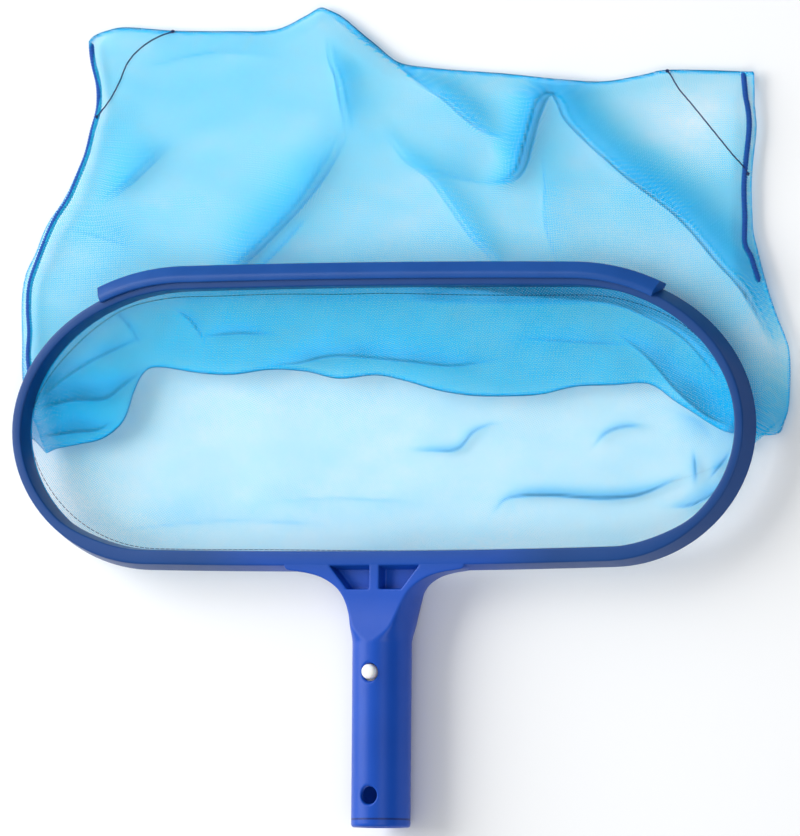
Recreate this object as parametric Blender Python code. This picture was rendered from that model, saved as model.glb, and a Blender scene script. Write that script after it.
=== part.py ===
"""Leaf skimmer net for a pool pole: a moulded hoop with a socket handle and a fine mesh bag.

The net lies on its back with its mouth up and the bag turned over past the nose.
X runs along the hoop, Y from the open end of the handle to the bag, Z is up from the ground.
"""
import math

import bmesh
import bpy
from mathutils import Matrix, Vector

GAP = 0.0003                    # clearance between neighbouring pieces

# Hoop: outline of its back edge, measured from its widest line (y = 0)
HALF_WIDTH = 0.201
NOSE_REACH = 0.074
NOSE_BOW = 0.003
NOSE_CORNER = 0.095             # how far the rounded end runs in along X on the nose side
BAR_REACH = 0.066
BAR_BOW = 0.0035
BAR_CORNER = 0.075

# Hoop: section
HOOP_BACK_Z = 0.0162
HOOP_FRONT_Z = 0.0267
FLANK_FLARE = 0.0027            # the outer flank spreads towards the back
SIDE_FACE = 0.0046              # width of the front face at the ends and the nose
BAR_FACE = 0.0068               # and at the bar, where the handle joins
EDGE_ROUND = 0.0005
FLANK_TRIM = 0.00035            # how far the outer edge's round reaches down the flank
INNER_DRAFT = 0.0007
GROOVE_OUTER = 0.0030           # the net is held in a groove in the back
GROOVE_INNER = 0.0060
GROOVE_DEPTH = 0.0055
GROOVE_SPARE = 0.0008           # room left at the bottom of the groove
HEM_THICK = 0.0005
STRIP_SUNK = 0.0004             # the strips sit this far inside the groove
STRIP_STARTS = [5, 17, 28, 39, 50, 61]  # the outline points where one strip ends and the next starts

# Handle: socket tube and flared neck
TUBE_RADIUS = 0.0145
TUBE_EDGE = 0.0006
TUBE_START_Y = -0.1060
HALF_GRAZE = 0.0001             # the round tube keeps a sliver of the neck's flat front
AXIS_Z = 0.0167
TUBE_END_Y = -0.1945
BORE_RADIUS = 0.0119
BORE_DEPTH = 0.092
BORE_LEAD = 0.001               # its cutter starts this far outside the tube
CORE_START_RADIUS = 0.0095      # past the bore a tapered core makes room for the clip's bow
CORE_END_RADIUS = 0.007
CORE_DEPTH = 0.1129
HOLE_RADIUS = 0.0043
BUTTON_Y = -0.119
SPARE_HOLE_Y = -0.179
DRILL_HALF = 0.02
DRILL_TURN = 3                  # degrees, so that no facet of a hole lies along the tube
NECK_BACK_Z = 0.0118
ENVELOPE_SPARE = 0.0098         # how far the cut around the hoop runs on below the neck
CUT_TOP_Z = 0.045               # the pockets are cut from up here
# Neck, from the bar to the tube: Y, half width, half width of its flat front, front Z, back Z
NECK_STATIONS = [
    (-0.0630, 0.0460, 0.0448, 0.0267, 0.0118),
    (-0.0692, 0.0460, 0.0448, 0.0267, 0.0118),
    (-0.0702, 0.0380, 0.0368, 0.0267, 0.0117),
    (-0.0722, 0.0305, 0.0293, 0.0267, 0.0114),
    (-0.0753, 0.0245, 0.0233, 0.0267, 0.0102),
    (-0.0793, 0.0200, 0.0185, 0.0268, 0.0076),
    (-0.0845, 0.0170, 0.0150, 0.0270, 0.0042),
    (-0.0905, 0.0153, 0.0122, 0.0279, 0.0025),
    (-0.0975, 0.0147, 0.0088, 0.0297, 0.0022),
    (-0.1040, 0.0145, 0.0008, 0.0311, 0.0022),
]
POCKET_TOP_Y = -0.0640
POCKET_BOTTOM_Y = -0.0784
POCKET_TOP_REACH = 0.0247
POCKET_BOTTOM_REACH = 0.0147
POCKET_FLOOR_Z = 0.0200
RIB_HALF = 0.0027

# Nose guard: the scraping lip clipped over the nose
GUARD_HALF_LENGTH = 0.151
GUARD_THICK = 0.0017
GUARD_PROUD = 0.0044
GUARD_FOOT_PROUD = 0.0032       # the lip stands out less at its foot
GUARD_FOOT_LIFT = 0.001
GUARD_BROW = 0.003              # the lip's widest line is this far below the hoop's front
GUARD_REACH = 0.0015            # how far the plate covers the hoop's front face
GUARD_BEVEL = 0.0006
GUARD_CROWN = 0.0014

# Spring clip inside the tube
CLIP_WIDTH = 0.009
CLIP_THICK = 0.0016
CLIP_BEND_RADIUS = 0.0034
CLIP_HINGE_Y = -0.087
CLIP_TIP_Y = -0.124
CLIP_TIP_REACH = 0.0094
BUTTON_RADIUS = 0.0036
BUTTON_PROUD = 0.0022
BUTTON_DOME = 0.0014
BUTTON_BEVEL = 0.0005
BUTTON_ROOT = 0.0003            # the button starts this far inside its arm
BUTTON_LEAD = 0.0003            # the button sits this far up its hole, and swings back when pressed

# Bag
BAG_TOP_Z = 0.0157
BAG_WALL = 0.0016
MOUTH_INSET = 0.012
FOLD_EDGE_Y = 0.022             # the nose panel is tucked down into the mouth as far as this
UNDER_HOOP_Y = -0.014           # the bag's edge keeps under the hoop up to here
BAG_RIGHT = [(0.202, -0.002), (0.206, 0.014), (0.206, 0.033), (0.203, 0.052), (0.195, 0.073), (0.188, 0.102),
             (0.190, 0.144), (0.187, 0.172)]
BAG_FAR = [(0.150, 0.174), (0.100, 0.172), (0.050, 0.176), (0.010, 0.186), (-0.033, 0.203), (-0.065, 0.194),
           (-0.120, 0.192)]
BAG_LEFT = [(-0.168, 0.190), (-0.163, 0.165), (-0.168, 0.138), (-0.180, 0.112), (-0.194, 0.086), (-0.203, 0.057),
            (-0.206, 0.033), (-0.206, 0.014), (-0.202, -0.002)]

# Seams of the bag
SEAM_WIDTH = 0.0018
SEAM_OFFSET = 0.0023
THREAD_WIDTH = 0.0008
THREAD_LIFT = 0.0007
CORNER_RIGHT = [(0.146, 0.171), (0.162, 0.160), (0.176, 0.146), (0.186, 0.128)]
CORNER_LEFT = [(-0.128, 0.190), (-0.142, 0.184), (-0.152, 0.174), (-0.160, 0.158)]

CENTRE_Y = -0.00425               # moves the whole object so that the origin is under its middle


def clear_scene():
    for thing in list(bpy.data.objects):
        bpy.data.objects.remove(thing, do_unlink=True)


def make_collection(name):
    group = bpy.data.collections.new(name)
    bpy.context.scene.collection.children.link(group)
    return group


def make_material(name, colour, roughness, metallic=0.0):
    material = bpy.data.materials.new(name)
    material.use_nodes = True
    shader = material.node_tree.nodes["Principled BSDF"]
    shader.inputs["Base Color"].default_value = (*colour, 1.0)
    shader.inputs["Roughness"].default_value = roughness
    shader.inputs["Metallic"].default_value = metallic
    material.diffuse_color = (*colour, 1.0)
    return material


def add_object(name, mesh, group, material=None):
    thing = bpy.data.objects.new(name, mesh)
    group.objects.link(thing)
    if material:
        mesh.materials.append(material)
    return thing


def as_cutter(thing):
    thing.hide_render = True
    thing.display_type = "WIRE"
    return thing


def mesh_from(build):
    """Runs a function on an empty bmesh and keeps the result as a mesh, smooth but for its edges."""
    work = bmesh.new()
    build(work)
    bmesh.ops.remove_doubles(work, verts=work.verts, dist=1e-6)
    bmesh.ops.recalc_face_normals(work, faces=work.faces)
    mesh = bpy.data.meshes.new("shape")
    work.to_mesh(mesh)
    work.free()
    mesh.shade_smooth()
    mesh.set_sharp_from_angle(angle=math.radians(32))
    return mesh


def boolean(thing, other, operation, solver="EXACT"):
    step = thing.modifiers.new(operation.title(), "BOOLEAN")
    step.operation = operation
    step.object = other
    step.solver = solver


def curve_to_mesh(curve_object, group, name):
    """Replaces a curve object by a welded mesh object in the same place."""
    bpy.context.view_layer.update()
    graph = bpy.context.evaluated_depsgraph_get()
    mesh = bpy.data.meshes.new_from_object(curve_object.evaluated_get(graph))
    work = bmesh.new()
    work.from_mesh(mesh)
    bmesh.ops.remove_doubles(work, verts=work.verts, dist=1e-6)
    bmesh.ops.recalc_face_normals(work, faces=work.faces)
    work.to_mesh(mesh)
    work.free()
    thing = bpy.data.objects.new(name, mesh)
    thing.matrix_world = curve_object.matrix_world.copy()
    group.objects.link(thing)
    bpy.data.objects.remove(curve_object, do_unlink=True)
    return thing


def prism(name, outline, low, high, group):
    """A flat outline given thickness along Z, as a mesh."""
    curve = bpy.data.curves.new(name, "CURVE")
    curve.dimensions = "2D"
    curve.fill_mode = "BOTH"
    curve.extrude = (high - low) / 2
    spline = curve.splines.new("POLY")
    spline.points.add(len(outline) - 1)
    for point, (x, y) in zip(spline.points, outline):
        point.co = (x, y, 0, 1)
    spline.use_cyclic_u = True
    source = bpy.data.objects.new(name + "_outline", curve)
    source.location.z = (high + low) / 2
    group.objects.link(source)
    return curve_to_mesh(source, group, name)


# ---- the hoop's outline ----

def smooth_step(value, start, end):
    share = min(max((value - start) / (end - start), 0.0), 1.0)
    return share * share * (3 - 2 * share)


def outline_y(x, side):
    """Where the outline runs on the nose side (+1) or the bar side (-1)."""
    reach, bow, corner = (NOSE_REACH, NOSE_BOW, NOSE_CORNER) if side > 0 else (BAR_REACH, BAR_BOW, BAR_CORNER)
    past = max(abs(x) - (HALF_WIDTH - corner), 0.0) / corner
    return side * (reach * math.sqrt(max(1 - past * past, 0.0)) + bow * (1 - (x / HALF_WIDTH) ** 2))


def outline_half(side, corner, arc_steps=11, flat_steps=11):
    """One side of the outline from +X to -X, its rounded ends in equal steps of angle."""
    flat = HALF_WIDTH - corner
    turns = [math.pi / 2 * step / arc_steps for step in range(arc_steps)]
    across = [flat + corner * math.cos(turn) for turn in turns]
    across += [flat - 2 * flat * step / flat_steps for step in range(flat_steps + 1)]
    across += [-flat - corner * math.cos(turn) for turn in reversed(turns)]
    return [Vector((x, outline_y(x, side))) for x in across]


def hoop_outline():
    """The back edge of the hoop, anticlockwise from its right-hand end."""
    nose = outline_half(+1, NOSE_CORNER)
    bar = outline_half(-1, BAR_CORNER)
    return nose[:-1] + bar[:0:-1]


def outward_normals(points, closed=True):
    normals = []
    count = len(points)
    for index in range(count):
        ahead = points[(index + 1) % count] if closed else points[min(index + 1, count - 1)]
        behind = points[index - 1] if closed else points[max(index - 1, 0)]
        along = (ahead - behind).normalized()
        normals.append(Vector((along.y, -along.x)))
    return normals


def inset(points, distance):
    return [point - normal * distance for point, normal in zip(points, outward_normals(points))]


def sweep(points, normals, section, closed):
    """Lofts sections of (distance in from the outline, height) along a run of the outline."""
    def build(work):
        rings = []
        for point, normal in zip(points, normals):
            ring = [work.verts.new((*(point - normal * inward), height)) for inward, height in section(normal)]
            rings.append(ring)
        pairs = list(zip(rings, rings[1:]))
        if closed:
            pairs.append((rings[-1], rings[0]))
        for first, second in pairs:
            for index in range(len(first)):
                after = (index + 1) % len(first)
                work.faces.new((first[index], first[after], second[after], second[index]))
        if not closed:
            work.faces.new(list(reversed(rings[0])))
            work.faces.new(rings[-1])
    return mesh_from(build)


def face_width(normal):
    return SIDE_FACE + (BAR_FACE - SIDE_FACE) * smooth_step(-normal.y, 0.75, 0.98)


def hoop_section(normal):
    face = face_width(normal)
    inner = FLANK_FLARE + face
    groove_top = HOOP_BACK_Z + GROOVE_DEPTH
    return [
        (0, HOOP_BACK_Z),
        (FLANK_FLARE - FLANK_TRIM, HOOP_FRONT_Z - EDGE_ROUND),
        (FLANK_FLARE, HOOP_FRONT_Z),
        (inner - EDGE_ROUND, HOOP_FRONT_Z),
        (inner, HOOP_FRONT_Z - EDGE_ROUND),
        (inner + INNER_DRAFT, HOOP_BACK_Z),
        (GROOVE_INNER, HOOP_BACK_Z),
        (GROOVE_INNER, groove_top),
        (GROOVE_OUTER, groove_top),
        (GROOVE_OUTER, HOOP_BACK_Z),
    ]


def hoop_envelope(normal):
    """The hoop's outside without its groove, grown by the clearance and carried down past the neck."""
    inner = FLANK_FLARE + face_width(normal) + GAP
    low = NECK_BACK_Z - ENVELOPE_SPARE
    return [
        (-GAP, low),
        (-GAP, HOOP_BACK_Z),
        (FLANK_FLARE - GAP, HOOP_FRONT_Z + GAP),
        (inner, HOOP_FRONT_Z + GAP),
        (inner + INNER_DRAFT, low),
    ]


def make_hoop(group, material):
    points = hoop_outline()
    add_object("hoop", sweep(points, outward_normals(points), hoop_section, True), group, material)


# ---- nose guard ----

def guard_section(normal):
    """An angle section: a plate on the front face and a lip down the outer flank."""
    top = HOOP_FRONT_Z + GAP + GUARD_THICK
    foot = HOOP_BACK_Z + GUARD_FOOT_LIFT
    plate_inner = FLANK_FLARE + GUARD_REACH
    return [
        (-GAP * 2, foot),
        (-GUARD_FOOT_PROUD, foot),
        (-GUARD_PROUD, HOOP_FRONT_Z - GUARD_BROW),
        (-GUARD_PROUD + GUARD_BEVEL, top - GUARD_BEVEL),
        (-GUARD_PROUD + GUARD_CROWN, top),
        (plate_inner - GUARD_BEVEL, top),
        (plate_inner, top - GUARD_BEVEL),
        (plate_inner, HOOP_FRONT_Z + GAP),
        (FLANK_FLARE - GAP * 2, HOOP_FRONT_Z + GAP),
    ]


def make_nose_guard(group, material, steps=26):
    across = [GUARD_HALF_LENGTH * (1 - 2 * step / steps) for step in range(steps + 1)]
    points = [Vector((x, outline_y(x, +1))) for x in across]
    add_object("nose_guard", sweep(points, outward_normals(points, False), guard_section, False), group, material)


# ---- what holds the net in the groove ----

def strip_section(normal):
    outer = GROOVE_OUTER + GAP
    inner = GROOVE_INNER - GAP - HEM_THICK - GAP
    low = HOOP_BACK_Z + STRIP_SUNK
    high = HOOP_BACK_Z + GROOVE_DEPTH - GROOVE_SPARE
    return [(outer, low), (outer, high), (inner, high), (inner, low)]


def hem_section(normal):
    inner = GROOVE_INNER - GAP
    outer = inner - HEM_THICK
    low = HOOP_BACK_Z
    high = HOOP_BACK_Z + GROOVE_DEPTH - GROOVE_SPARE
    return [(outer, low), (outer, high), (inner, high), (inner, low)]


def make_retainers(group, material, hem_material):
    """Six strips snap into the groove end to end and pinch the hem of the net against its wall."""
    points = hoop_outline()
    normals = outward_normals(points)
    count = len(points)
    names = ["retainer_nose_right", "retainer_nose_left", "retainer_end_left",
             "retainer_bar_left", "retainer_bar_right", "retainer_end_right"]
    ends = STRIP_STARTS[1:] + [STRIP_STARTS[0] + count]
    for name, start, end in zip(names, STRIP_STARTS, ends):
        run = [index % count for index in range(start, end + 1)]
        line = [points[index].copy() for index in run]
        line[0] += (line[1] - line[0]).normalized() * GAP * 2
        line[-1] -= (line[-1] - line[-2]).normalized() * GAP * 2
        facing = [normals[index] for index in run]
        add_object(name, sweep(line, facing, strip_section, False), group, material)
    add_object("mouth_hem", sweep(points, normals, hem_section, True), group, hem_material)


# ---- handle ----

def turned(profile, segments=48):
    """A profile of (radius, y) turned about the tube's axis."""
    def build(work):
        verts = [work.verts.new((radius, y, AXIS_Z)) for radius, y in profile]
        edges = [work.edges.new(pair) for pair in zip(verts, verts[1:])]
        bmesh.ops.spin(work, geom=verts + edges, cent=(0, 0, AXIS_Z), axis=(0, 1, 0),
                       angle=math.tau, steps=segments, use_duplicate=False)
    return mesh_from(build)


def neck_section(y, half_width, half_flat, front, back, arc_steps=11):
    """A ring round the neck: flat in front, falling in a quarter ellipse to its side, and round behind."""
    half = []
    for step in range(arc_steps + 1):
        turn = math.pi / 2 * step / arc_steps
        across = half_flat + (half_width - half_flat) * math.sin(turn)
        half.append((across, AXIS_Z + (front - AXIS_Z) * math.cos(turn)))
    for step in range(1, arc_steps + 1):
        turn = math.pi / 2 * step / arc_steps
        across = half_flat + (half_width - half_flat) * math.cos(turn)
        half.append((across, AXIS_Z - (AXIS_Z - back) * math.sin(turn)))
    return [(x, y, z) for x, z in half] + [(-x, y, z) for x, z in reversed(half)]


def handle_body():
    """The neck and the tube as one loft of rings."""
    round_tube = (TUBE_RADIUS, HALF_GRAZE, AXIS_Z + TUBE_RADIUS, AXIS_Z - TUBE_RADIUS)
    stations = NECK_STATIONS + [(TUBE_START_Y, *round_tube), (TUBE_END_Y + TUBE_EDGE, *round_tube)]
    end_radius = TUBE_RADIUS - TUBE_EDGE
    stations.append((TUBE_END_Y, end_radius, HALF_GRAZE, AXIS_Z + end_radius, AXIS_Z - end_radius))

    def build(work):
        rings = [[work.verts.new(place) for place in neck_section(*station)] for station in stations]
        for first, second in zip(rings, rings[1:]):
            for index in range(len(first)):
                after = (index + 1) % len(first)
                work.faces.new((first[index], first[after], second[after], second[index]))
        work.faces.new(rings[0])
        work.faces.new(list(reversed(rings[-1])))
    return mesh_from(build)


def upright_cylinder(radius, y, low, high, segments=28):
    def build(work):
        bmesh.ops.create_cone(work, cap_ends=True, segments=segments, radius1=radius, radius2=radius,
                              depth=high - low)
        turn = Matrix.Rotation(math.radians(DRILL_TURN), 4, "Z")
        place = Matrix.Translation((0, y, (low + high) / 2)) @ turn
        bmesh.ops.transform(work, matrix=place, verts=work.verts)
    return mesh_from(build)


def make_handle(group, cutters, material):
    handle = add_object("handle", handle_body(), group, material)
    points = hoop_outline()
    envelope = add_object("hoop_cut", sweep(points, outward_normals(points), hoop_envelope, True), cutters)
    boolean(handle, as_cutter(envelope), "DIFFERENCE")

    bore_end = TUBE_END_Y + BORE_DEPTH
    core_end = TUBE_END_Y + CORE_DEPTH
    bore_start = TUBE_END_Y - BORE_LEAD
    bore = turned([(0, bore_start), (BORE_RADIUS, bore_start), (BORE_RADIUS, bore_end),
                   (CORE_START_RADIUS, bore_end), (CORE_END_RADIUS, core_end), (0, core_end)])
    boolean(handle, as_cutter(add_object("bore_cut", bore, cutters)), "DIFFERENCE")

    for label, y in (("button_holes", BUTTON_Y), ("spare_holes", SPARE_HOLE_Y)):
        drill = upright_cylinder(HOLE_RADIUS, y, AXIS_Z - DRILL_HALF, AXIS_Z + DRILL_HALF)
        boolean(handle, as_cutter(add_object(label, drill, cutters)), "DIFFERENCE", "MANIFOLD")

    for label, side in (("pocket_left", -1), ("pocket_right", +1)):
        corners = [(RIB_HALF, POCKET_TOP_Y), (RIB_HALF, POCKET_BOTTOM_Y),
                   (POCKET_BOTTOM_REACH, POCKET_BOTTOM_Y), (POCKET_TOP_REACH, POCKET_TOP_Y)]
        pocket = prism(label, [(side * x, y) for x, y in corners], POCKET_FLOOR_Z, CUT_TOP_Z, cutters)
        boolean(handle, as_cutter(pocket), "DIFFERENCE", "MANIFOLD")


# ---- spring clip ----

def make_clip(group, material):
    """A bow deep in the tube and two arms that spring out, each with its button in a hole."""
    half = CLIP_THICK / 2

    def bend(work):
        rows = []
        for step in range(13):
            turn = math.pi / 2 - math.pi * step / 12
            for_row = []
            for radius in (CLIP_BEND_RADIUS - half, CLIP_BEND_RADIUS + half):
                y = CLIP_HINGE_Y + GAP / 2 + radius * math.cos(turn)
                z = AXIS_Z + radius * math.sin(turn)
                for_row += [(-CLIP_WIDTH / 2, y, z), (CLIP_WIDTH / 2, y, z)]
            corners = [for_row[0], for_row[1], for_row[3], for_row[2]]
            rows.append([work.verts.new(corner) for corner in corners])
        for first, second in zip(rows, rows[1:]):
            for index in range(4):
                after = (index + 1) % 4
                work.faces.new((first[index], first[after], second[after], second[index]))
        work.faces.new(rows[0])
        work.faces.new(list(reversed(rows[-1])))

    add_object("clip_bow", mesh_from(bend), group, material)

    length = CLIP_HINGE_Y - CLIP_TIP_Y
    slope = math.atan2(CLIP_TIP_REACH - CLIP_BEND_RADIUS, length)
    for name, side in (("clip_arm_front", +1), ("clip_arm_back", -1)):
        hinge = Vector((0, CLIP_HINGE_Y, AXIS_Z + side * CLIP_BEND_RADIUS))
        pivot = bpy.data.objects.new(name + "_hinge", None)
        pivot.location = hinge
        group.objects.link(pivot)

        def blade(work):
            bmesh.ops.create_cube(work, size=1.0)
            bmesh.ops.scale(work, vec=(CLIP_WIDTH, length - GAP, CLIP_THICK), verts=work.verts)
            bmesh.ops.translate(work, vec=(0, -(length + GAP) / 2, 0), verts=work.verts)
            bmesh.ops.rotate(work, matrix=Matrix.Rotation(-side * slope, 3, "X"), verts=work.verts)

        arm = add_object(name, mesh_from(blade), group, material)
        arm.parent = pivot

        def button(work):
            button_tip = TUBE_RADIUS + BUTTON_PROUD - CLIP_BEND_RADIUS
            foot = (CLIP_HINGE_Y - BUTTON_Y) * math.tan(slope) - BUTTON_ROOT
            outline = [(0, foot), (BUTTON_RADIUS, foot), (BUTTON_RADIUS, button_tip - BUTTON_DOME),
                       (BUTTON_RADIUS - BUTTON_BEVEL, button_tip - BUTTON_BEVEL),
                       (BUTTON_RADIUS - BUTTON_DOME, button_tip), (0, button_tip)]
            verts = [work.verts.new((radius, 0, height)) for radius, height in outline]
            edges = [work.edges.new(pair) for pair in zip(verts, verts[1:])]
            bmesh.ops.spin(work, geom=verts + edges, cent=(0, 0, 0), axis=(0, 0, 1),
                           angle=math.tau, steps=24, use_duplicate=False)
            if side < 0:
                bmesh.ops.scale(work, vec=(1, 1, -1), verts=work.verts)
            lead = BUTTON_Y + BUTTON_LEAD - CLIP_HINGE_Y
            bmesh.ops.translate(work, vec=(0, lead, 0), verts=work.verts)

        stud = as_cutter(add_object(name + "_button", mesh_from(button), bpy.data.collections["Cutters"]))
        stud.parent = pivot
        boolean(arm, stud, "UNION")


# ---- bag ----

def turned_below(points, limit):
    """The stretch of a closed outline that lies below a height in Y, as one run."""
    start = max(range(len(points)), key=lambda index: points[index].y)
    return [point for point in points[start:] + points[:start] if point.y < limit]


def bag_outline():
    """The bag's edge on the ground: along the hoop's groove, then the right, far and left edges."""
    under_hoop = turned_below(inset(hoop_outline(), GROOVE_INNER + BAG_WALL), UNDER_HOOP_Y)
    return under_hoop + [Vector(point) for point in BAG_RIGHT + BAG_FAR + BAG_LEFT]


def make_bag(group, cutters, material):
    outline = bag_outline()
    bag = prism("net_bag", outline, 0, BAG_TOP_Z, group)
    bag.data.materials.append(material)
    inside = prism("bag_inside", inset(outline, BAG_WALL), BAG_WALL, BAG_TOP_Z - BAG_WALL, cutters)
    boolean(bag, as_cutter(inside), "DIFFERENCE")
    mouth = turned_below(inset(hoop_outline(), MOUTH_INSET), FOLD_EDGE_Y)
    mouth = [Vector((mouth[0].x, FOLD_EDGE_Y))] + mouth + [Vector((mouth[-1].x, FOLD_EDGE_Y))]
    opening = prism("bag_mouth", mouth, BAG_WALL * 2, HOOP_FRONT_Z, cutters)
    boolean(bag, as_cutter(opening), "DIFFERENCE")


def thread(name, points, diameter, group, material):
    """A cord along a smooth route through hand-placed points."""
    curve = bpy.data.curves.new(name, "CURVE")
    curve.dimensions = "3D"
    curve.bevel_depth = diameter / 2
    curve.bevel_resolution = 1
    curve.use_fill_caps = True
    spline = curve.splines.new("POLY")
    spline.points.add(len(points) - 1)
    for point, place in zip(spline.points, points):
        point.co = (*place, 1)
    source = bpy.data.objects.new(name + "_line", curve)
    group.objects.link(source)
    made = curve_to_mesh(source, group, name)
    made.data.materials.append(material)


def make_seams(group, binding, sewing):
    """Rolled seams down both sides of the bag, and a line of thread across each far corner."""
    for name, edge in (("side_seam_right", BAG_RIGHT[3:]), ("side_seam_left", BAG_LEFT[1:6])):
        line = [Vector(point) for point in edge]
        beside = [point + normal * SEAM_OFFSET for point, normal in zip(line, outward_normals(line, False))]
        thread(name, [(point.x, point.y, BAG_TOP_Z / 2) for point in beside], SEAM_WIDTH, group, binding)
    top = BAG_TOP_Z + THREAD_LIFT
    for name, line in (("corner_seam_right", CORNER_RIGHT), ("corner_seam_left", CORNER_LEFT)):
        thread(name, [(x, y, top) for x, y in line], THREAD_WIDTH, group, sewing)


def main():
    clear_scene()
    parts = make_collection("Leaf skimmer net")
    cutters = make_collection("Cutters")
    blue = make_material("blue_moulding", (0.030, 0.085, 0.42), 0.32)
    strip = make_material("blue_strip", (0.026, 0.070, 0.34), 0.4)
    mesh = make_material("net_mesh", (0.36, 0.78, 0.95), 0.6)
    tape = make_material("seam_tape", (0.02, 0.10, 0.42), 0.75)
    sewing = make_material("sewing_thread", (0.02, 0.05, 0.20), 0.7)
    white = make_material("white_clip", (0.85, 0.86, 0.86), 0.35)
    make_hoop(parts, blue)
    make_nose_guard(parts, blue)
    make_retainers(parts, strip, tape)
    make_handle(parts, cutters, blue)
    make_clip(parts, white)
    make_bag(parts, cutters, mesh)
    make_seams(parts, tape, sewing)
    origin = bpy.data.objects.new("origin", None)
    origin.location.y = CENTRE_Y
    parts.objects.link(origin)
    for thing in list(parts.objects) + list(cutters.objects):
        if thing is not origin and thing.parent is None:
            thing.parent = origin


main()
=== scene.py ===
import math

import bmesh
import bpy
import numpy as np
from mathutils import Matrix, Vector


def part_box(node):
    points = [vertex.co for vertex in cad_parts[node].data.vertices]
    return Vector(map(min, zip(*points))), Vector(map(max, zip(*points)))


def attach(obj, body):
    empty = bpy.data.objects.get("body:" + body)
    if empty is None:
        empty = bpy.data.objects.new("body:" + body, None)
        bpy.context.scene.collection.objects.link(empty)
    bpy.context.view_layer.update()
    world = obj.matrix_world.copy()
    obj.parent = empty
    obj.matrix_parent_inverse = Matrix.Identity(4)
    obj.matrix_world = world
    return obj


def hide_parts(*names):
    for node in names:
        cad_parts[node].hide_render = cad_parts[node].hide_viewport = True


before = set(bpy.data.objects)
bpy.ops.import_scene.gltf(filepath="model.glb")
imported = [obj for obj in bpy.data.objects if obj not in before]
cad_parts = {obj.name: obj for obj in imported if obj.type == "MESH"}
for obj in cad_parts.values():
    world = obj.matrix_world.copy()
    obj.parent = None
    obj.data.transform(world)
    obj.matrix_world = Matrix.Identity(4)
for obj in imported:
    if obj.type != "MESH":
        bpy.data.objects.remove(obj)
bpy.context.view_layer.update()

# ---- Ground, light and camera ----
# The net lies on its back on a pale table, under a wide soft light from the left.
# The camera looks almost straight down, from the net's right and a little from its handle.

hoop_low, hoop_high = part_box("hoop")
handle_low, handle_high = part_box("handle")
half_width = hoop_high.x
bar_reach = 0.0695                     # from the hoop's widest line to the outer edge of its bar
widest_y = hoop_low.y + bar_reach
tube_radius = (handle_high.z - handle_low.z) / 2
tube_axis_z = handle_low.z + tube_radius


def linked(name, data):
    """A new object, placed in the scene."""
    made = bpy.data.objects.new(name, data)
    bpy.context.scene.collection.objects.link(made)
    return made


turn_right = math.radians(26)
tilt_down = math.radians(2)
roll = math.radians(0.45)
camera_distance = 14.0
aim_right, aim_away = 0.0087, 0.0053   # from the middle of the hoop's widest line
aim = Vector((aim_right, widest_y + aim_away, tube_axis_z))
camera_right = Vector((math.cos(turn_right), 0, -math.sin(turn_right)))
camera_back = Vector((math.sin(turn_right) * math.cos(tilt_down), -math.sin(tilt_down),
                      math.cos(turn_right) * math.cos(tilt_down)))
camera_right = Matrix.Rotation(roll, 3, camera_back) @ camera_right
camera_up = camera_back.cross(camera_right)
camera = linked("camera", bpy.data.cameras.new("camera"))
camera.data.sensor_fit = "HORIZONTAL"
camera.data.sensor_width = 36
view_width = 0.390244                  # metres across the view at the tube
camera.data.lens = camera.data.sensor_width * camera_distance / view_width
camera.data.clip_end = 40
camera.matrix_world = (Matrix.Translation(aim + camera_back * camera_distance)
                       @ Matrix((camera_right, camera_up, camera_back)).transposed().to_4x4())
bpy.context.scene.camera = camera


def soft_light(name, place, size, power):
    light = bpy.data.lights.new(name, "AREA")
    light.shape = "RECTANGLE"
    light.size, light.size_y = size
    light.energy = power
    lamp = linked(name, light)
    lamp.location = place
    lamp.rotation_euler = (-Vector(place)).to_track_quat("-Z", "Y").to_euler()


soft_light("window_left", (-1.55, 0.55, 1.15), (1.7, 1.7), 44)
soft_light("panel_right", (0.9, -0.7, 1.7), (1.3, 1.0), 11)


class Flow:
    """A node's output. Arithmetic on it adds Math nodes, and node() adds any other kind."""

    def __init__(self, tree, output=None):
        self.tree = tree
        self.output = output

    def node(self, kind, settings=None, values=None, out=0):
        made = self.tree.nodes.new(kind)
        for name, value in (settings or {}).items():
            setattr(made, name, value)
        for name, value in (values or {}).items():
            if isinstance(value, Flow):
                self.tree.links.new(value.output, made.inputs[name])
            elif isinstance(value, tuple) and made.inputs[name].type == "RGBA":
                made.inputs[name].default_value = (*value, 1)
            else:
                made.inputs[name].default_value = value
        return Flow(self.tree, made.outputs[out])

    def maths(self, operation, *others):
        values = {index: other for index, other in enumerate((self,) + others)}
        return self.node("ShaderNodeMath", {"operation": operation}, values)

    def __add__(self, other):
        return self.maths("ADD", other)

    __radd__ = __add__

    def __mul__(self, other):
        return self.maths("MULTIPLY", other)

    __rmul__ = __mul__

    def __sub__(self, other):
        return self.maths("SUBTRACT", other)

    def __rsub__(self, other):
        return (self * -1) + other

    def __truediv__(self, other):
        return self.maths("DIVIDE", other)

    def __lt__(self, other):
        return self.maths("LESS_THAN", other)

    def between(self, low, high):
        """0 below low, 1 above high, smooth from one to the other."""
        return self.node("ShaderNodeMapRange", {"interpolation_type": "SMOOTHSTEP"},
                         {"Value": self, "From Min": low, "From Max": high})

    def blend(self, first, second):
        """A colour from first, where this is 0, to second, where it is 1."""
        return self.node("ShaderNodeMix", {"data_type": "RGBA"}, {0: self, 6: first, 7: second}, out=2)

    def noise(self, scale, detail, **more):
        """Noise over this place."""
        values = {"Vector": self, "Scale": scale, "Detail": detail, **more}
        return self.node("ShaderNodeTexNoise", None, values)

    def axis(self, index):
        return self.node("ShaderNodeSeparateXYZ", None, {"Vector": self}, out=index)


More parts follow.
